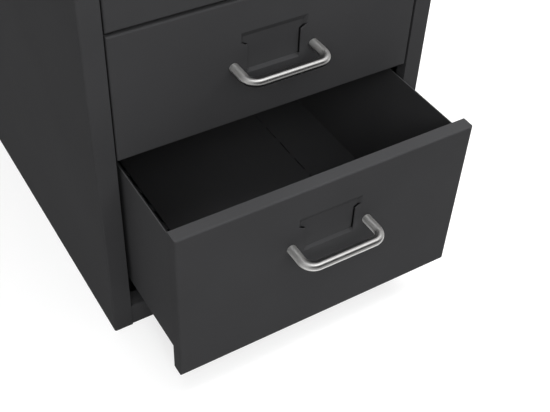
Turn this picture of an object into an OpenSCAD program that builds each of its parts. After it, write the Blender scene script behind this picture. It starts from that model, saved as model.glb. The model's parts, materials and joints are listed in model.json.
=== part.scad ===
// Narrow sheet-steel drawer cabinet: four shallow drawers above one deep drawer.
// Every panel is folded sheet: C-section sides with a front stile, a top cap, a base pan,
// a back, stepped runners, and drawers made of a tray, a hollow front and a bow handle.
// Millimetres. X right, Y back, Z up; the origin is the middle of the footprint on the floor.

/* [Cabinet] */
// Overall width
cabinet_w = 280; // [240:1:360]
// Depth of the body, without the handles
cabinet_d = 400; // [340:1:480]
// Height of the deep drawer's front above the floor
front_rise = 30; // [27:0.5:50]
// Height of the top cap's skirt
cap_h = 23.5; // [15:0.5:40]
// How far the deep drawer stands open at rest
deep_open = 85; // [0:1:180]
// How far a drawer slides from closed to its stop
drawer_travel = 290; // [200:1:300]

/* [Sheet metal] */
// Thickness of the steel sheet
sheet = 1; // [0.8:0.1:1.2]
// Outside radius of a folded edge
bend_r = 1.6; // [1.3:0.1:2.4]
// Width of the stile that frames the drawers at each side
stile_w = 15.6; // [13:0.2:20]
// Depth of the lip that turns back from the stile
stile_lip = 10; // [6:0.5:14]
// Width of the flanges at the back and top of a side panel
panel_flange = 13; // [11:0.5:16]

/* [Base pan] */
// Height of the rail under the deep drawer
rail_h = 20.5; // [14:0.5:24]
// How far the rail stands back from the stiles
rail_recess = 1; // [0.5:0.1:4]
// Depth of the shelf folded back from the rail
rail_shelf = 15; // [10:0.5:22]

/* [Drawer fronts] */
// Height of a shallow drawer's front
shallow_front_h = 100.5; // [95:0.5:130]
// Height of the deep drawer's front
deep_front_h = 142; // [120:0.5:180]
// Gap between one front and the next
front_gap = 2.5; // [2:0.5:5]
// Gap between a front and the stile
side_gap = 1.4; // [1:0.1:3]
// Depth of the folded front, face to back edge
front_d = 10.8; // [8.5:0.1:14]
// Width of the lip that turns in along a front's back edge
front_lip = 7; // [5:0.5:9]

/* [Label pocket] */
// Width of the panel between the two slits that take the label
label_w = 42.2; // [36:0.2:46]
// Depth that the pocket is pressed in
label_depth = 2; // [1.6:0.1:2.6]
// From the front's top edge down to the pocket's top edge
label_drop = 26.1; // [22:0.1:30]
// Height of the pocket, edge to edge
label_h = 33.9; // [30:0.1:34]
// Width of the slits
slit_w = 0.4; // [0.3:0.1:1.2]
// Width that a slit flares out at its upper end
flare_w = 5.4; // [3:0.2:6]
// Height of the slit's flared end
flare_h = 3; // [2:0.5:6]
// From the pocket's top edge down to the flared ends
mouth_h = 8; // [5:0.5:10]
// Height of the slope under the pocket's top edge
top_slope = 4.2; // [2:0.1:5]
// Height of the slope above the pocket's bottom edge
bottom_slope = 2.3; // [2:0.1:5]
// Width of the slopes at the pocket's closed sides
side_slope = 2.2; // [2:0.1:4]

/* [Handle] */
// Diameter of the bent rod
rod_dia = 8; // [7:0.1:9]
// Distance between the two screw holes
handle_span = 65; // [60:1:70]
// From the front's face to the middle of the grip
handle_reach = 23; // [20:0.1:30]
// Radius of the rod's bends, at its middle
handle_bend_r = 9; // [7:0.5:12]
// From a front's top edge down to the middle of the handle
handle_drop = 51.8; // [48:0.2:56]
// Diameter of the handle's screws
screw_dia = 4; // [3.5:0.1:4.2]
// Length of a handle screw under its head
screw_l = 20; // [18:0.5:24]
// Diameter of a pan head
head_dia = 8; // [7:0.2:9]
// Height of a pan head
head_h = 2.4; // [2:0.1:3]

/* [Drawer trays] */
// How far a tray's walls stand in from the sides of its front
tray_inset = 2.8; // [2.5:0.1:5]
// Height of a tray's underside above its front's lower edge
tray_rise = 15.5; // [12:0.5:20]
// How far a tray's rim lies below its front's top edge
tray_drop = 9; // [5:0.5:14]
// Free space behind a closed tray, to the body's back
tray_back_gap = 15; // [8:1:40]
// Width of the floor strip outside each row of fold slots
floor_strip = 51; // [40:1:60]
// Length of a fold slot
slot_l = 17; // [12:0.5:20]
// Distance from one fold slot to the next
slot_pitch = 25; // [22:1:32]
// Width of a fold slot
slot_w = 1.6; // [1.2:0.1:2.2]

/* [Runners] */
// Height of a runner's side guide above its shelf
guide_h = 16; // [10:0.5:20]
// Height of the flange that fixes a runner to the side panel
runner_flange = 12; // [8:0.5:14]
// Width of a runner's shelf under the tray
shelf_w = 13; // [10:0.5:18]
// Height of the stiffening lip under the shelf
shelf_lip = 5; // [3:0.5:7]
// Free space between the tray and its side guides
guide_play = 1; // [0.6:0.1:1.5]
// Free space between the tray and its shelves
shelf_play = 0.3; // [0.2:0.05:0.5]

/* [Stops and back screws] */
// Height of the stop tab's lower edge above the tray's underside
stop_rise = 22; // [18:0.5:26]
// Height of a stop tab
stop_h = 10; // [6:0.5:14]
// How far a stop tab stands out
stop_out = 7; // [6.4:0.1:8]
// Diameter of the screws that hold the back panel
back_screw_dia = 3.8; // [3:0.1:4.5]
// Length of a back screw under its head
back_screw_l = 8; // [6:0.5:10]
// Back screws on each side
back_screws = 4; // [2:1:6]

/* [Hidden] */
$fn = 48;

drawers = 5;
fit = 0.1;
eps = 0.01;
// How far the pressed pocket runs into the sheet round it
lap = 0.5;
powder_coat = [0.235, 0.235, 0.24];
tray_coat = [0.2, 0.2, 0.205];
zinc = [0.62, 0.63, 0.65];
bright_plate = [0.8, 0.8, 0.82];

front_w = cabinet_w - 2 * (stile_w + side_gap);
tray_w = front_w - 2 * tray_inset;
tray_back = cabinet_d - tray_back_gap;
stop_y = stile_lip + drawer_travel + 0.4;
slit_x = label_w / 2 + slit_w;
pocket_half = slit_x + flare_w;
slope_from = label_h - bottom_slope;
slit_end = slope_from - sheet / 2;
side_h = front_z(drawers + 1);
cabinet_h = side_h + cap_h;

// Drawer 1 is the deep one at the bottom; the others count upwards.
function front_h(i) = i == 1 ? deep_front_h : shallow_front_h;
function front_z(i) = i == 1 ? front_rise
    : front_rise + deep_front_h + front_gap + (i - 2) * (shallow_front_h + front_gap);
function drawer_open(i) = i == 1 ? deep_open : 0;

// ---- shapes that several pieces share ----

// Block between two opposite corners
module block(low, high) translate(low) cube(high - low);

// Outline w wide, centred on x, from y = 0 to y = d; the corners at each end may be round
module folded_outline(w, d, r_near, r_far) {
    translate([-w / 2, r_near]) square([w, d - r_near - r_far]);
    if (r_near > 0) {
        translate([-w / 2 + r_near, 0]) square([w - 2 * r_near, r_near]);
        for (s = [-1, 1]) translate([s * (w / 2 - r_near), r_near]) circle(r_near);
    }
    if (r_far > 0) {
        translate([-w / 2 + r_far, d - r_far]) square([w - 2 * r_far, r_far]);
        for (s = [-1, 1]) translate([s * (w / 2 - r_far), d - r_far]) circle(r_far);
    }
}

// Turn a flat XY outline so that it stands in the XZ plane and is extruded along +Y
module along_y(l) translate([0, l, 0]) rotate([90, 0, 0]) linear_extrude(l) children();

// Turn a flat outline with axes (Y, Z) so that it is extruded along X, centred
module along_x(l) translate([-l / 2, 0, 0]) rotate([90, 0, 90]) linear_extrude(l) children();

// Place a drawer's own piece: x centred, y = 0 on the front's face, z = 0 at its lower edge
module in_drawer(i) translate([0, -cabinet_d / 2 - drawer_open(i), front_z(i)]) children();

// Place a piece of the body: y = 0 on the stiles' face, z = 0 on the floor
module in_body() translate([0, -cabinet_d / 2, 0]) children();

// ---- body ----

// One C-section side: wall, front stile with its lip, back flange and top flange.
// Drawn as the right-hand one.
module side_panel() {
    wall_x = cabinet_w / 2;
    stile_x = wall_x - stile_w;
    flange_x = wall_x - panel_flange;
    difference() {
        translate([wall_x - stile_w / 2, 0, 0]) linear_extrude(side_h) difference() {
            translate([0, 0]) folded_outline(stile_w, cabinet_d, bend_r, bend_r);
            translate([-stile_w / 2 + sheet, sheet]) square([stile_w - 2 * sheet, cabinet_d - 2 * sheet]);
            translate([-stile_w / 2 - eps, stile_lip]) square([sheet + 2 * eps, cabinet_d]);
            translate([-stile_w / 2 - eps, -eps]) square([bend_r, sheet / 2]);
        }
        block([stile_x - eps, cabinet_d - 2 * sheet, -eps], [flange_x, cabinet_d + eps, side_h + eps]);
        back_screw_places() back_screw_hole();
    }
    block([stile_x, 0, 0], [stile_x + bend_r, sheet, side_h]);
    difference() {
        block([flange_x, stile_lip, side_h - sheet], [wall_x - sheet / 2, cabinet_d - sheet / 2, side_h]);
        back_screw_places() back_screw_hole();
    }
}

module side_panel_right() color(powder_coat) in_body() side_panel();
module side_panel_left() color(powder_coat) in_body() mirror([1, 0, 0]) side_panel();

// Top cap: a lid with a skirt on all four sides that stands on the side panels
module top_cap() color(powder_coat) in_body() translate([0, 0, side_h]) difference() {
    intersection() {
        linear_extrude(cap_h) folded_outline(cabinet_w, cabinet_d, bend_r, bend_r);
        along_y(cabinet_d) folded_outline(cabinet_w, cap_h, 0, bend_r);
        translate([0, cabinet_d / 2, 0]) rotate([0, 0, 90]) along_y_centred(cabinet_w)
            folded_outline(cabinet_d, cap_h, 0, bend_r);
    }
    block([-cabinet_w / 2 + sheet, sheet, -eps], [cabinet_w / 2 - sheet, cabinet_d - sheet, cap_h - sheet]);
}

// As along_y, with the extrusion centred
module along_y_centred(l) translate([0, -l / 2, 0]) along_y(l) children();

// Base pan: floor plate, front rail with a folded shelf, and flanges turned up all round
module base_pan() color(powder_coat) in_body() {
    half = cabinet_w / 2 - sheet;
    rail_half = cabinet_w / 2 - stile_w - fit;
    back_y = cabinet_d - 2 * sheet;
    behind_lip = stile_lip + 0.5;
    block([-half, behind_lip, 0], [half, back_y, sheet]);
    block([-rail_half, rail_recess, 0], [rail_half, behind_lip, sheet]);
    along_x(2 * rail_half) difference() {
        translate([rail_recess, 0]) square([rail_shelf, rail_h]);
        translate([rail_recess + sheet, sheet]) square([rail_shelf, rail_h - 2 * sheet]);
        translate([rail_recess, rail_h - bend_r]) fold_corner(bend_r);
    }
    for (s = [-1, 1]) mirror([s < 0 ? 1 : 0, 0, 0])
        block([half - sheet, behind_lip, 0], [half, back_y, rail_h]);
    block([-half, back_y - sheet, 0], [half, back_y, rail_h]);
}

// The waste outside a round fold, from the start of the arc at (0, 0) up and to the right
module fold_corner(r) difference() {
    translate([-eps, 0]) square([r + eps, r + eps]);
    translate([r, 0]) circle(r);
}

// Back panel: a flat plate inside the side panels' back flanges
module back_panel() color(powder_coat) in_body() difference() {
    half = cabinet_w / 2 - sheet;
    block([-half, cabinet_d - 2 * sheet, 0], [half, cabinet_d - sheet, side_h - sheet]);
    for (s = [0, 1]) mirror([s, 0, 0]) back_screw_places() back_screw_hole();
}

// The places of the back screws on the right-hand side
module back_screw_places() {
    low = 60;
    step = (side_h - 2 * low) / (back_screws - 1);
    for (k = [0:back_screws - 1])
        translate([cabinet_w / 2 - panel_flange / 2, cabinet_d, low + k * step]) children();
}

module back_screw_hole() rotate([90, 0, 0]) translate([0, 0, -1])
    cylinder(d = back_screw_dia + 2 * fit, h = 1 + 2 * sheet + 1);

// Pan-head screw whose head stands on y = 0 towards +Y and whose shank runs to -Y
module pan_screw(shank_d, shank_l) {
    rotate([90, 0, 0]) cylinder(d = shank_d, h = shank_l);
    rotate([-90, 0, 0]) difference() {
        rotate_extrude() intersection() {
            square([head_dia / 2, head_h]);
            translate([0, head_h - head_dia]) circle(head_dia, $fn = 96);
        }
        for (a = [0, 90]) rotate([0, 0, a])
            translate([-head_dia / 4, -0.5, head_h / 2]) cube([head_dia / 2, 1, head_h]);
    }
}

module back_panel_screws() color(zinc) in_body()
    for (s = [0, 1]) mirror([s, 0, 0]) back_screw_places() pan_screw(back_screw_dia, back_screw_l);

// Right-hand runner of drawer i: flange on the side panel, step, side guide, shelf and lip
module runner(i) {
    guide_x = tray_w / 2 + guide_play;
    wall_x = cabinet_w / 2 - sheet;
    shelf_x = guide_x - shelf_w;
    shelf_z = front_z(i) + tray_rise - shelf_play;
    y0 = stile_lip + 1;
    y1 = cabinet_d - back_screw_l - 2;
    translate([0, y0, shelf_z]) along_y(y1 - y0) {
        translate([wall_x - sheet, guide_h - sheet]) square([sheet, runner_flange + sheet]);
        translate([guide_x, guide_h - sheet]) square([wall_x - guide_x, sheet]);
        translate([guide_x, -sheet]) square([sheet, guide_h + sheet]);
        translate([shelf_x, -sheet]) square([guide_x - shelf_x + sheet, sheet]);
        translate([shelf_x, -sheet - shelf_lip]) square([sheet, shelf_lip + sheet]);
    }
}

module drawer_runner_right(i) color(zinc) in_body() runner(i);
module drawer_runner_left(i) color(zinc) in_body() mirror([1, 0, 0]) runner(i);

// ---- drawers ----

// Tray: floor with a raised middle, four walls, fold slots and stop tabs
module drawer_tray(i) color(tray_coat) in_drawer(i) difference() {
    union() {
        tray_box(tray_rise, front_h(i) - tray_drop);
        raised_floor(tray_rise);
        for (s = [0, 1]) mirror([s, 0, 0]) stop_tab(tray_rise);
    }
    for (s = [0, 1]) mirror([s, 0, 0]) {
        stop_window(tray_rise);
        fold_slots(tray_rise);
        translate([handle_span / 2, front_d - 1, front_h(i) - handle_drop]) screw_hole(2 + sheet);
    }
}

// Four walls and a floor of one sheet, open at the top
module tray_box(low, rim) {
    half = tray_w / 2;
    inside = half - sheet;
    difference() {
        block([-half, front_d, low], [half, tray_back, rim]);
        block([-inside, front_d + sheet, low + sheet], [inside, tray_back - sheet, rim + eps]);
    }
}

// The middle sheet of the floor, lapped over the two side strips
module raised_floor(low) {
    x = tray_w / 2 - floor_strip;
    block([-x, front_d + sheet - eps, low + sheet - eps], [x, tray_back - sheet + eps, low + 2 * sheet]);
}

// The tab that meets the stile's lip when the drawer is fully out
module stop_tab(low) translate([tray_w / 2 - eps, stop_y, low + stop_rise])
    cube([stop_out + eps, sheet, stop_h]);

// The window that a stop tab is bent out of
module stop_window(low) translate([tray_w / 2 - sheet - eps, stop_y + sheet, low + stop_rise])
    cube([sheet + 2 * eps, stop_out, stop_h]);

// The row of slots that lets the floor be folded by hand
module fold_slots(low) {
    x = tray_w / 2 - floor_strip;
    first = front_d + slot_pitch;
    count = floor((tray_back - slot_pitch - first) / slot_pitch);
    for (k = [0:count - 1])
        translate([x, first + k * slot_pitch, low - eps]) cube([slot_w, slot_l, sheet + 2 * eps]);
}

// Clearance hole for a handle screw, along +Y from the front
module screw_hole(l) rotate([-90, 0, 0]) cylinder(d = screw_dia + 4 * fit, h = l);

// Hollow front: a shallow pan with rounded folds, lips along its back, and the label pocket
module drawer_front(i) color(powder_coat) in_drawer(i) {
    h = front_h(i);
    top = h - label_drop;
    difference() {
        front_skin(front_w, h, front_d, bend_r);
        translate([0, sheet, sheet])
            front_skin(front_w - 2 * sheet, h - 2 * sheet, front_d - 2 * sheet, bend_r - sheet);
        block([-front_w / 2 + sheet + front_lip, front_d - 2 * sheet, sheet + front_lip],
            [front_w / 2 - sheet - front_lip, front_d + 1, h - sheet - front_lip]);
        translate([0, -1, top]) along_y(sheet + 2) pocket_mouth();
        for (s = [-1, 1]) translate([s * handle_span / 2, -1, h - handle_drop]) screw_hole(sheet + 2);
    }
    translate([0, 0, top]) label_pocket();
}

// Block with its front face's four edges rounded as a folded sheet's are
module front_skin(w, h, d, r) intersection() {
    linear_extrude(h) folded_outline(w, d, r, 0);
    translate([0, 0, h / 2]) rotate([90, 0, 90]) translate([0, 0, -w / 2]) linear_extrude(w)
        rotate([0, 0, -90]) folded_outline(h, d, r, 0);
}

// Outline cut out of the front for the pocket: z = 0 at its top edge
module pocket_mouth() polygon([
    [-slit_x, -label_h], [slit_x, -label_h], [slit_x, -mouth_h - flare_h], [pocket_half, -mouth_h],
    [pocket_half, 0], [-pocket_half, 0], [-pocket_half, -mouth_h], [-slit_x, -mouth_h - flare_h]
]);

// The pressed-in panel: sloped in all round, but slit free along its sides from the flares
// down to the bottom slope, which has closed sides of its own
module label_pocket() {
    difference() {
        pocket_shell(pocket_half, -slope_from, lap);
        for (s = [0, 1]) mirror([s, 0, 0]) translate([0, -1, 0]) along_y(label_depth + sheet + 2) free_edge();
    }
    pocket_shell(slit_x, -label_h - lap, -slit_end);
}

// The pressed sheet between two heights, for a pocket that reaches `half` to each side
module pocket_shell(half, z0, z1) difference() {
    pocket_wedge(sheet, half, z0, z1);
    pocket_wedge(0, half, z0, z1);
}

// All that lies less than `behind` behind the pressed sheet's front surface
module pocket_wedge(behind, half, z0, z1) intersection() {
    y0 = behind - sheet - 1;
    y1 = label_depth + behind;
    along_x(2 * (half + lap)) polygon([
        [y0, lap], [behind, lap], [behind, 0], [y1, -top_slope], [y1, -slope_from],
        [behind, -label_h], [behind, -label_h - lap], [y0, -label_h - lap]
    ]);
    translate([0, 0, z0]) linear_extrude(z1 - z0) polygon([
        [-half - lap, y0], [-half - lap, behind], [-half, behind], [-half + side_slope, y1],
        [half - side_slope, y1], [half, behind], [half + lap, behind], [half + lap, y0]
    ]);
}

// What is cut away beside the panel's free right edge, up to the flared end of the slit
module free_edge() {
    edge_x = slit_x - slit_w;
    far_x = pocket_half + 1;
    rise = flare_h / flare_w;
    flare_z = -mouth_h - flare_h + slit_w * sqrt(1 + rise * rise);
    polygon([
        [edge_x, -label_h], [edge_x, flare_z + rise * (edge_x - slit_x)],
        [far_x, flare_z + rise * (far_x - slit_x)], [far_x, -label_h]
    ]);
}

// Bow handle: one bent rod, drilled at both ends for its screws
module drawer_handle(i) color(bright_plate) in_drawer(i) translate([0, 0, front_h(i) - handle_drop]) {
    leg_l = handle_reach - handle_bend_r;
    bar_half = handle_span / 2 - handle_bend_r;
    difference() {
        union() {
            for (s = [0, 1]) mirror([s, 0, 0]) {
                translate([handle_span / 2, 0, 0]) rotate([90, 0, 0]) cylinder(d = rod_dia, h = leg_l);
                translate([bar_half, -leg_l, 0]) rotate([0, 0, -90])
                    rotate_extrude(angle = 90) translate([handle_bend_r, 0]) circle(d = rod_dia);
            }
            translate([-bar_half, -handle_reach, 0]) rotate([0, 90, 0])
                cylinder(d = rod_dia, h = 2 * bar_half);
        }
        for (s = [-1, 1]) translate([s * handle_span / 2, 1, 0]) rotate([90, 0, 0])
            cylinder(d = screw_dia + fit, h = 1 + screw_l - front_d - sheet + 1.5);
    }
}

// Two screws from inside the tray, through its front wall and the hollow front, into the handle
module drawer_handle_screws(i) color(zinc) in_drawer(i)
    for (s = [-1, 1]) translate([s * handle_span / 2, front_d + sheet, front_h(i) - handle_drop])
        pan_screw(screw_dia, screw_l);

// ---- the cabinet ----

side_panel_left();
side_panel_right();
back_panel();
top_cap();
base_pan();
back_panel_screws();
for (i = [1:drawers]) {
    drawer_runner_left(i);
    drawer_runner_right(i);
    drawer_tray(i);
    drawer_front(i);
    drawer_handle(i);
    drawer_handle_screws(i);
}
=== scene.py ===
"""Looks of the sheet-steel drawer cabinet: camera, studio, materials and dressed pieces."""

import json
import math

import bmesh
import bpy
from mathutils import Euler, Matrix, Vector


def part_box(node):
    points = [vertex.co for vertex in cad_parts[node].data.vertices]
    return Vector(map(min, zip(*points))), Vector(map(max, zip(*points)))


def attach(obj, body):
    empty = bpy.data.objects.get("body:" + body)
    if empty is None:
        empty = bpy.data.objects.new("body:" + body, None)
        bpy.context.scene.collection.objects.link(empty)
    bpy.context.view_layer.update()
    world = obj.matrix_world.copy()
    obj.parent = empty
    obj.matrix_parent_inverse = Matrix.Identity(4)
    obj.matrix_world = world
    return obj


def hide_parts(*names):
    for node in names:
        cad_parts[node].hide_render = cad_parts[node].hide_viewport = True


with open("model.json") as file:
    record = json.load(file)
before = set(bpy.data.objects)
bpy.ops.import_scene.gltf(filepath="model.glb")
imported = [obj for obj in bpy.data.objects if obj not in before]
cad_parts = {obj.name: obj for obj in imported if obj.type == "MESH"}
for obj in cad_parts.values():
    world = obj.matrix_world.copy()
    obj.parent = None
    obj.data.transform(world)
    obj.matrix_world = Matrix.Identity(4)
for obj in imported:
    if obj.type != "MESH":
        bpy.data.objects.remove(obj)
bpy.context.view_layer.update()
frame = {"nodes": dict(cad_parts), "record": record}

NODES = frame["nodes"]
RECORD = frame["record"]
BODY_OF = {node: body for body, members in RECORD["behaviour"]["bodies"].items() for node in members}
SLOT_OF = {part["node"]: part["material_slot"] for part in RECORD["subparts"]}
MM = 0.001
DRAWERS = range(1, 6)

# ---- camera: place in metres, turn in degrees, lens and sensor in millimetres ----

CAMERA_AT = (-0.29584, -0.6625, 0.60085)
CAMERA_TURN = (46.261, -2.204, -31.164)
CAMERA_LENS = 61.235
SENSOR_WIDTH = 36.0
NEAREST_SEEN = 0.01


def add_camera():
    """The camera that looks at the cabinet from the front left and above."""
    data = bpy.data.cameras.new("camera")
    data.lens = CAMERA_LENS
    data.sensor_width = SENSOR_WIDTH
    data.clip_start = NEAREST_SEEN
    camera = bpy.data.objects.new("camera", data)
    camera.location = CAMERA_AT
    camera.rotation_euler = Euler([math.radians(a) for a in CAMERA_TURN])
    bpy.context.scene.collection.objects.link(camera)
    bpy.context.scene.camera = camera


# ---- node helpers ----

# Nearly all of a noise texture's values lie between these two.
NOISE_SPAN = (0.3, 0.7)


def new_material(name):
    material = bpy.data.materials.new(name)
    material.use_nodes = True
    material.node_tree.nodes.clear()
    return material, material.node_tree


def add_node(tree, kind, **values):
    node = tree.nodes.new(kind)
    for key, value in values.items():
        setattr(node, key, value)
    return node


def link(tree, out_socket, in_socket):
    tree.links.new(out_socket, in_socket)


def noise(tree, coords, scale, detail, roughness=0.5):
    node = add_node(tree, "ShaderNodeTexNoise")
    node.inputs["Scale"].default_value = scale
    node.inputs["Detail"].default_value = detail
    node.inputs["Roughness"].default_value = roughness
    link(tree, coords, node.inputs["Vector"])
    return node.outputs["Fac"]


def remap(tree, value, low, high):
    """The noise value, spread from low to high."""
    node = add_node(tree, "ShaderNodeMapRange")
    node.inputs["From Min"].default_value = NOISE_SPAN[0]
    node.inputs["From Max"].default_value = NOISE_SPAN[1]
    node.inputs["To Min"].default_value = low
    node.inputs["To Max"].default_value = high
    link(tree, value, node.inputs["Value"])
    return node.outputs["Result"]


def tint(tree, fac, dark, light):
    """A colour between dark and light, as fac goes from 0 to 1."""
    node = add_node(tree, "ShaderNodeMix", data_type="RGBA")
    node.inputs["A"].default_value = (*dark, 1.0)
    node.inputs["B"].default_value = (*light, 1.0)
    link(tree, fac, node.inputs["Factor"])
    return node.outputs["Result"]


def bump(tree, height, strength, distance, normal=None):
    node = add_node(tree, "ShaderNodeBump")
    node.inputs["Strength"].default_value = strength
    node.inputs["Distance"].default_value = distance
    link(tree, height, node.inputs["Height"])
    if normal is not None:
        link(tree, normal, node.inputs["Normal"])
    return node.outputs["Normal"]


def surface(tree, shader):
    output = add_node(tree, "ShaderNodeOutputMaterial")
    link(tree, shader, output.inputs["Surface"])


def scaled(colour, factor):
    return tuple(min(1.0, c * factor) for c in colour)


# ---- materials ----
# Noises are (scale, detail) or (scale, detail, roughness), bumps (strength, distance in metres).

ANTHRACITE = (0.040, 0.040, 0.0415)
NICKEL = (0.60, 0.595, 0.585)
ZINC = (0.52, 0.52, 0.54)

# Powder coat
COAT_SPECULAR = 0.025
COAT_ROUGH = 0.75
FRONT_ROUGH = 0.73
GLOSS_SPREAD = 0.04
CLOUD = (14.0, 4.0)
CLOUD_TINTS = (0.95, 1.05)
GRAIN = (2600.0, 2.0)
GRAIN_BUMP = (0.12, 0.00003)
PEEL = (520.0, 2.0)
PEEL_BUMP = (0.10, 0.0001)
# Painted light on the tray's upright walls and painted shade on its floor: the same coat, made
# lighter and darker where it is lit unlike.
TRAY_WALL_PAINTED_LIGHT = 1.10
TRAY_FLOOR_PAINTED_SHADE = 0.92
RUNNER_TONE = 0.9

# Handle plate. Places along the rod are shares of its length.
BRUSHING = 0.95
ROD_MIDDLE = 0.5
BENDS_FROM_MIDDLE = (0.20, 0.30)
LEG_DULLER = 0.13
HAZE = (420.0, 5.0, 0.65)
HAZE_ROUGH = (0.28, 0.34)
HAZE_TINT = 0.92

# Zinc plate
SPANGLE = (700.0, 3.0)
SPANGLE_TINTS = (0.9, 1.08)
SPANGLE_ROUGH = (0.28, 0.42)


def painted_light_and_shade_by_slope(tree, colour, upright, level):
    """The colour, scaled on upright faces and on level ones: painted light where the scale is over
    one and painted shade where it is under, by how each face turns to the lamps.
    """
    facing = add_node(tree, "ShaderNodeNewGeometry").outputs["Normal"]
    split = add_node(tree, "ShaderNodeSeparateXYZ")
    link(tree, facing, split.inputs["Vector"])
    levelness = add_node(tree, "ShaderNodeMath", operation="ABSOLUTE")
    link(tree, split.outputs["Z"], levelness.inputs[0])
    tone = add_node(tree, "ShaderNodeMapRange")
    tone.inputs["To Min"].default_value = upright
    tone.inputs["To Max"].default_value = level
    link(tree, levelness.outputs[0], tone.inputs["Value"])
    scale = add_node(tree, "ShaderNodeVectorMath", operation="SCALE")
    link(tree, colour, scale.inputs[0])
    link(tree, tone.outputs["Result"], scale.inputs["Scale"])
    return scale.outputs[0]


def powder_coat(name, colour, roughness, upright=1.0, level=1.0):
    """Baked powder coat: a fine orange peel, a little cloudiness and uneven gloss, with painted
    light and shade where upright and level faces are scaled unlike.
    """
    material, tree = new_material(name)
    coords = add_node(tree, "ShaderNodeTexCoord").outputs["Object"]
    shader = add_node(tree, "ShaderNodeBsdfPrincipled")
    shader.inputs["Specular IOR Level"].default_value = COAT_SPECULAR
    cloud = noise(tree, coords, *CLOUD)
    grain = noise(tree, coords, *GRAIN)
    peel = noise(tree, coords, *PEEL)
    dark, light = [scaled(colour, factor) for factor in CLOUD_TINTS]
    coat_colour = tint(tree, remap(tree, cloud, 0.0, 1.0), dark, light)
    # Painted light and shade: upright and level faces scaled unlike.
    if upright != level:
        coat_colour = painted_light_and_shade_by_slope(tree, coat_colour, upright, level)
    link(tree, coat_colour, shader.inputs["Base Color"])
    gloss = remap(tree, grain, roughness - GLOSS_SPREAD, roughness + GLOSS_SPREAD)
    link(tree, gloss, shader.inputs["Roughness"])
    fine = bump(tree, grain, *GRAIN_BUMP)
    link(tree, bump(tree, peel, *PEEL_BUMP, fine), shader.inputs["Normal"])
    surface(tree, shader.outputs["BSDF"])
    return material


def off_the_bar(tree):
    """0 along a handle's bar, rising through its bends to 1 on the legs."""
    along = add_node(tree, "ShaderNodeUVMap", uv_map="along_rod")
    split = add_node(tree, "ShaderNodeSeparateXYZ")
    link(tree, along.outputs["UV"], split.inputs["Vector"])
    shift = add_node(tree, "ShaderNodeMath", operation="SUBTRACT")
    link(tree, split.outputs["X"], shift.inputs[0])
    shift.inputs[1].default_value = ROD_MIDDLE
    distance = add_node(tree, "ShaderNodeMath", operation="ABSOLUTE")
    link(tree, shift.outputs[0], distance.inputs[0])
    rise = add_node(tree, "ShaderNodeMapRange")
    rise.inputs["From Min"].default_value = BENDS_FROM_MIDDLE[0]
    rise.inputs["From Max"].default_value = BENDS_FROM_MIDDLE[1]
    link(tree, distance.outputs[0], rise.inputs["Value"])
    return rise.outputs["Result"]


def drawn_plate(name, colour):
    """Satin nickel plate on drawn rod, buffed round the rod so that light spreads along it."""
    material, tree = new_material(name)
    coords = add_node(tree, "ShaderNodeTexCoord").outputs["Object"]
    shader = add_node(tree, "ShaderNodeBsdfPrincipled")
    shader.inputs["Metallic"].default_value = 1.0
    shader.inputs["Anisotropic"].default_value = BRUSHING
    along = add_node(tree, "ShaderNodeTangent", direction_type="UV_MAP", uv_map="along_rod")
    link(tree, along.outputs["Tangent"], shader.inputs["Tangent"])
    haze = noise(tree, coords, *HAZE)
    dull = add_node(tree, "ShaderNodeMath", operation="MULTIPLY_ADD")
    link(tree, off_the_bar(tree), dull.inputs[0])
    dull.inputs[1].default_value = LEG_DULLER
    link(tree, remap(tree, haze, *HAZE_ROUGH), dull.inputs[2])
    hazy = tint(tree, remap(tree, haze, 0.0, 1.0), scaled(colour, HAZE_TINT), colour)
    link(tree, hazy, shader.inputs["Base Color"])
    link(tree, dull.outputs[0], shader.inputs["Roughness"])
    surface(tree, shader.outputs["BSDF"])
    return material


def zinc_plate(name, colour):
    """Zinc plate with a fine spangle in its colour and gloss."""
    material, tree = new_material(name)
    coords = add_node(tree, "ShaderNodeTexCoord").outputs["Object"]
    shader = add_node(tree, "ShaderNodeBsdfPrincipled")
    shader.inputs["Metallic"].default_value = 1.0
    spangle = noise(tree, coords, *SPANGLE)
    dark, light = [scaled(colour, factor) for factor in SPANGLE_TINTS]
    spangled = tint(tree, remap(tree, spangle, 0.0, 1.0), dark, light)
    link(tree, spangled, shader.inputs["Base Color"])
    link(tree, remap(tree, spangle, *SPANGLE_ROUGH), shader.inputs["Roughness"])
    surface(tree, shader.outputs["BSDF"])
    return material


MATERIALS = {
    "powder_coat": powder_coat("powder_coat", ANTHRACITE, COAT_ROUGH),
    "front_coat": powder_coat("front_coat", ANTHRACITE, FRONT_ROUGH),
    # The tray's coat has painted light on its walls and painted shade on its floor.
    "tray_coat": powder_coat("tray_coat", ANTHRACITE, COAT_ROUGH, TRAY_WALL_PAINTED_LIGHT, TRAY_FLOOR_PAINTED_SHADE),
    "runner_steel": powder_coat("runner_steel", scaled(ANTHRACITE, RUNNER_TONE), COAT_ROUGH),
    "handle_chrome": drawn_plate("handle_chrome", NICKEL),
    "zinc_screw": zinc_plate("zinc_screw", ZINC),
}


# ---- sheet pieces ----

SHEET_PIECES = ("_front", "_tray", "_pan", "_cap", "_panel_left", "_panel_right")
WELD = 0.001 * MM
EDGE_BREAK = 0.18 * MM
FRONT_BREAK = 0.12 * MM
BREAK_SEGMENTS = 2
# Degrees: faces that turn less are one flat face, and edges that turn more are broken.
FLAT_WITHIN = 0.5
BROKEN_FROM = 20


def finish_piece(piece, node):
    """The piece takes its node's place: its body, its finish and its slot."""
    piece.data.materials.clear()
    piece.data.materials.append(MATERIALS[SLOT_OF[node]])
    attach(piece, BODY_OF[node])
    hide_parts(node)


def bake_modifiers(piece):
    """Turns the modifiers' result into the piece's own mesh."""
    bpy.context.view_layer.update()
    result = piece.evaluated_get(bpy.context.evaluated_depsgraph_get())
    mesh = bpy.data.meshes.new_from_object(result)
    piece.modifiers.clear()
    piece.data = mesh


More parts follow.
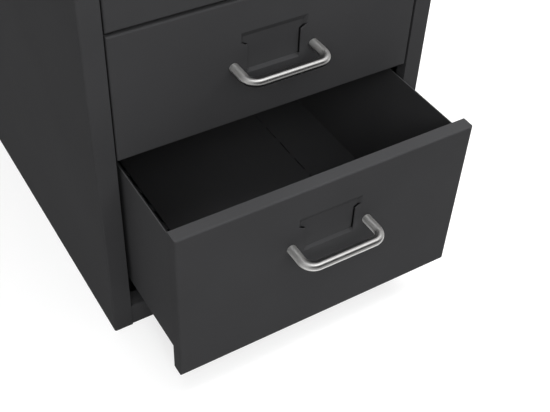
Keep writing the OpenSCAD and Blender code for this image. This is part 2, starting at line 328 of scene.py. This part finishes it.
def keep_inside(piece, node):
    """Brings any point that a bevel pushed out back to the node's own box."""
    low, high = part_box(node)
    for vertex in piece.data.vertices:
        vertex.co = Vector([min(max(c, a), b) for c, a, b in zip(vertex.co, low, high)])


def folded_skin(node, edge_break):
    """A sheet piece with every cut edge broken by a fine bevel and its folds shaded smooth."""
    mesh = NODES[node].data.copy()
    mesh.name = node + "_skin"
    work = bmesh.new()
    work.from_mesh(mesh)
    bmesh.ops.remove_doubles(work, verts=work.verts, dist=WELD)
    flat = math.radians(FLAT_WITHIN)
    bmesh.ops.dissolve_limit(work, angle_limit=flat, verts=work.verts, edges=work.edges)
    for face in work.faces:
        face.smooth = True
    work.to_mesh(mesh)
    work.free()
    piece = bpy.data.objects.new(node + "_skin", mesh)
    bpy.context.scene.collection.objects.link(piece)
    bevel = piece.modifiers.new("edge_break", "BEVEL")
    bevel.width = edge_break
    bevel.segments = BREAK_SEGMENTS
    bevel.limit_method = "ANGLE"
    bevel.angle_limit = math.radians(BROKEN_FROM)
    bevel.use_clamp_overlap = False
    normals = piece.modifiers.new("flat_faces", "WEIGHTED_NORMAL")
    normals.keep_sharp = True
    bake_modifiers(piece)
    keep_inside(piece, node)
    finish_piece(piece, node)


def dress_sheets():
    """Every sheet piece but the flat back panel and the runners gets a skin."""
    for node in NODES:
        if node.endswith(SHEET_PIECES):
            folded_skin(node, FRONT_BREAK if node.endswith("_front") else EDGE_BREAK)


def wear_cad():
    """Every CAD node gets its finish. It shows on those that no piece replaces."""
    for node, cad in NODES.items():
        cad.data.materials.clear()
        cad.data.materials.append(MATERIALS[SLOT_OF[node]])


# ---- handles: the rod that is seen is a little thinner than the solid, on the same middle line ----

ROD_SIDES = 48
LEG_STEPS = 4
BEND_STEPS = 20
BAR_STEPS = 8
SHARP_FROM = 40
BEND_R = 9.0 * MM
ROD_R = 3.6 * MM
FOOT_BREAK = 0.35 * MM
BORE_R = 2.05 * MM
BORE_DEPTH = 9.7 * MM


def ring_points(centre, along, radius):
    """The points of one ring of the rod, square to the direction along it."""
    up = Vector((0.0, 0.0, 1.0))
    across = along.cross(up).normalized()
    turns = [2 * math.pi * k / ROD_SIDES for k in range(ROD_SIDES)]
    return [centre + radius * (math.cos(a) * up + math.sin(a) * across) for a in turns]


def bow_handle(node):
    """Bent rod between two bored feet, in one closed skin with a UV that runs along it."""
    low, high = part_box(node)
    solid_r = (high.z - low.z) / 2
    face_y = high.y
    foot_x = (high.x - low.x) / 2 - solid_r
    middle = Vector(((low.x + high.x) / 2, face_y, (low.z + high.z) / 2))
    leg_l = face_y - low.y - solid_r - BEND_R
    left_foot = middle + Vector((-foot_x, 0, 0))
    forward = Vector((0, -1, 0))
    right = Vector((1, 0, 0))
    stations = [
        (left_foot + forward * BORE_DEPTH, forward, BORE_R),
        (left_foot, forward, BORE_R),
        (left_foot, forward, ROD_R - FOOT_BREAK),
        (left_foot + forward * FOOT_BREAK, forward, ROD_R),
    ]
    for k in range(1, LEG_STEPS):
        stations.append((left_foot + forward * leg_l * k / LEG_STEPS, forward, ROD_R))
    corner = left_foot + forward * leg_l + right * BEND_R
    for k in range(BEND_STEPS + 1):
        a = math.pi / 2 * k / BEND_STEPS
        centre = corner - right * BEND_R * math.cos(a) + forward * BEND_R * math.sin(a)
        stations.append((centre, forward * math.cos(a) + right * math.sin(a), ROD_R))
    half = len(stations)
    bar_start = stations[-1][0]
    bar_l = 2 * (middle.x - bar_start.x)
    for k in range(1, BAR_STEPS):
        stations.append((bar_start + right * bar_l * k / BAR_STEPS, right, ROD_R))
    for centre, along, radius in reversed(stations[:half]):
        mirrored = Vector((2 * middle.x - centre.x, centre.y, centre.z))
        stations.append((mirrored, Vector((along.x, -along.y, along.z)), radius))
    skin_rod(node, stations)


def skin_rod(node, stations):
    """The closed skin over rings of (centre, direction, radius)."""
    work = bmesh.new()
    uv = work.loops.layers.uv.new("along_rod")
    rings = []
    run = [0.0]
    for (before, _, r0), (after, _, r1) in zip(stations, stations[1:]):
        run.append(run[-1] + (after - before).length + abs(r1 - r0))
    for centre, along, radius in stations:
        rings.append([work.verts.new(p) for p in ring_points(centre, along, radius)])
    for i, (near, far) in enumerate(zip(rings, rings[1:])):
        for k in range(ROD_SIDES):
            n = (k + 1) % ROD_SIDES
            face = work.faces.new((near[k], near[n], far[n], far[k]))
            face.smooth = True
            corners = ((run[i], k), (run[i], k + 1), (run[i + 1], k + 1), (run[i + 1], k))
            for loop, (u, v) in zip(face.loops, corners):
                loop[uv].uv = (u / run[-1], v / ROD_SIDES)
    work.faces.new(list(reversed(rings[0])))
    work.faces.new(rings[-1])
    bmesh.ops.recalc_face_normals(work, faces=work.faces)
    mesh = bpy.data.meshes.new(node + "_rod")
    for edge in work.edges:
        if len(edge.link_faces) == 2 and edge.calc_face_angle() > math.radians(SHARP_FROM):
            edge.smooth = False
    work.to_mesh(mesh)
    work.free()
    piece = bpy.data.objects.new(node + "_rod", mesh)
    bpy.context.scene.collection.objects.link(piece)
    finish_piece(piece, node)


def dress_handles():
    for i in DRAWERS:
        bow_handle(f"drawer_{i}_handle")


# ---- studio ----

AIM = Vector((0.0, -0.25, 0.2))
LAMP_DISTANCE = 1.7
LAMP_SIZE = (1.2, 0.8)
# name: (degrees round from the front towards the cabinet's right, degrees up, watts, seen in metal)
LAMPS = {
    "high_front": (0, 60, 4.8, True),
    "front": (0, 35, 5.7, False),
    "left": (-35, 38, 17.0, False),
    "right": (90, 55, 34.5, False),
    "above": (0, 90, 17.0, False),
    "behind": (180, 40, 6.0, False),
}
WORLD_LIGHT = 0.12
FLOOR_REACH = 4.0
FLOOR_COLOUR = (0.35, 0.35, 0.35)
FLOOR_LIFT = 0.70
FLOOR_LIGHT = 0.22
# Metres from the cabinet's middle at which the floor's lift starts to rise, and is white.
LIFT_RISES = (0.8, 2.0)
# name: (grey, (y, z) of two edges) of the cards that give the metal its dark streaks
CARDS = {
    "front_flag": (0.04, ((-1.60, 0.0), (-1.60, 1.15))),
    "low_flag": (0.45, ((-0.40, 0.002), (-1.60, 0.002))),
    "top_flag": (0.60, ((-0.30, 1.60), (1.40, 1.60))),
}
CARD_REACH = (-1.6, 2.4)


def add_lamp(name, around, up, power, in_metal):
    data = bpy.data.lights.new(name, "AREA")
    data.shape = "RECTANGLE"
    data.size, data.size_y = LAMP_SIZE
    data.energy = power
    a, e = math.radians(around), math.radians(up)
    towards = Vector((math.sin(a) * math.cos(e), -math.cos(a) * math.cos(e), math.sin(e)))
    lamp = bpy.data.objects.new(name, data)
    lamp.location = AIM + LAMP_DISTANCE * towards
    lamp.rotation_euler = towards.to_track_quat("Z", "Y").to_euler()
    lamp.visible_glossy = in_metal
    bpy.context.scene.collection.objects.link(lamp)


def by_ray(tree, lighting, seen):
    """One strength for the light on the object, one for what the camera, metal and glass see."""
    rays = add_node(tree, "ShaderNodeLightPath")
    is_seen = rays.outputs["Is Camera Ray"]
    for name in ("Is Glossy Ray", "Is Transmission Ray"):
        either = add_node(tree, "ShaderNodeMath", operation="MAXIMUM")
        link(tree, is_seen, either.inputs[0])
        link(tree, rays.outputs[name], either.inputs[1])
        is_seen = either.outputs[0]
    strength = add_node(tree, "ShaderNodeMath", operation="MULTIPLY_ADD")
    link(tree, is_seen, strength.inputs[0])
    strength.inputs[1].default_value = seen - lighting
    strength.inputs[2].default_value = lighting
    return strength


def add_world():
    """A dim world that the camera, metal and glass see as white."""
    world = bpy.data.worlds.new("studio")
    bpy.context.scene.world = world
    world.use_nodes = True
    tree = world.node_tree
    tree.nodes.clear()
    background = add_node(tree, "ShaderNodeBackground")
    background.inputs["Color"].default_value = (1.0, 1.0, 1.0, 1.0)
    link(tree, by_ray(tree, WORLD_LIGHT, 1.0).outputs[0], background.inputs["Strength"])
    output = add_node(tree, "ShaderNodeOutputWorld")
    link(tree, background.outputs[0], output.inputs["Surface"])


def lift_over_light(tree):
    """The floor's lift rises to white where the lamps no longer reach, so that no horizon shows."""
    coords = add_node(tree, "ShaderNodeTexCoord").outputs["Object"]
    distance = add_node(tree, "ShaderNodeVectorMath", operation="LENGTH")
    link(tree, coords, distance.inputs[0])
    rise = add_node(tree, "ShaderNodeMapRange", interpolation_type="SMOOTHSTEP")
    rise.inputs["From Min"].default_value = LIFT_RISES[0]
    rise.inputs["From Max"].default_value = LIFT_RISES[1]
    rise.inputs["To Min"].default_value = FLOOR_LIFT - FLOOR_LIGHT
    rise.inputs["To Max"].default_value = 1.0 - FLOOR_LIGHT
    link(tree, distance.outputs["Value"], rise.inputs["Value"])
    return rise.outputs["Result"]


def add_floor():
    """A floor that keeps the cabinet's shadow and is white elsewhere."""
    mesh = bpy.data.meshes.new("floor")
    r = FLOOR_REACH
    corners = [(-r, -r, 0), (r, -r, 0), (r, r, 0), (-r, r, 0)]
    mesh.from_pydata(corners, [], [(0, 1, 2, 3)])
    floor = bpy.data.objects.new("floor", mesh)
    bpy.context.scene.collection.objects.link(floor)
    material, tree = new_material("floor_white")
    matt = add_node(tree, "ShaderNodeBsdfDiffuse")
    matt.inputs["Color"].default_value = (*FLOOR_COLOUR, 1.0)
    glow = add_node(tree, "ShaderNodeEmission")
    strength = by_ray(tree, FLOOR_LIGHT, FLOOR_LIFT)
    link(tree, lift_over_light(tree), strength.inputs[1])
    link(tree, strength.outputs[0], glow.inputs["Strength"])
    both = add_node(tree, "ShaderNodeAddShader")
    link(tree, matt.outputs[0], both.inputs[0])
    link(tree, glow.outputs[0], both.inputs[1])
    surface(tree, both.outputs[0])
    mesh.materials.append(material)


def add_card(name, grey, edges):
    """A card that only reflections show, as photographers set up to give metal its dark streaks."""
    mesh = bpy.data.meshes.new(name)
    corners = [(x, y, z) for y, z in edges for x in CARD_REACH]
    mesh.from_pydata(corners, [], [(0, 1, 3, 2)])
    card = bpy.data.objects.new(name, mesh)
    bpy.context.scene.collection.objects.link(card)
    material, tree = new_material(name)
    glow = add_node(tree, "ShaderNodeEmission")
    glow.inputs["Color"].default_value = (grey, grey, grey, 1.0)
    surface(tree, glow.outputs[0])
    mesh.materials.append(material)
    card.visible_camera = False
    card.visible_diffuse = False
    card.visible_shadow = False
    card.visible_transmission = False


def add_studio():
    add_world()
    add_floor()
    for name, (grey, edges) in CARDS.items():
        add_card(name, grey, edges)
    for name, (around, up, power, in_metal) in LAMPS.items():
        add_lamp(name, around, up, power, in_metal)


add_camera()
add_studio()
wear_cad()
dress_sheets()
dress_handles()

bpy.context.scene.view_settings.view_transform = "Standard"
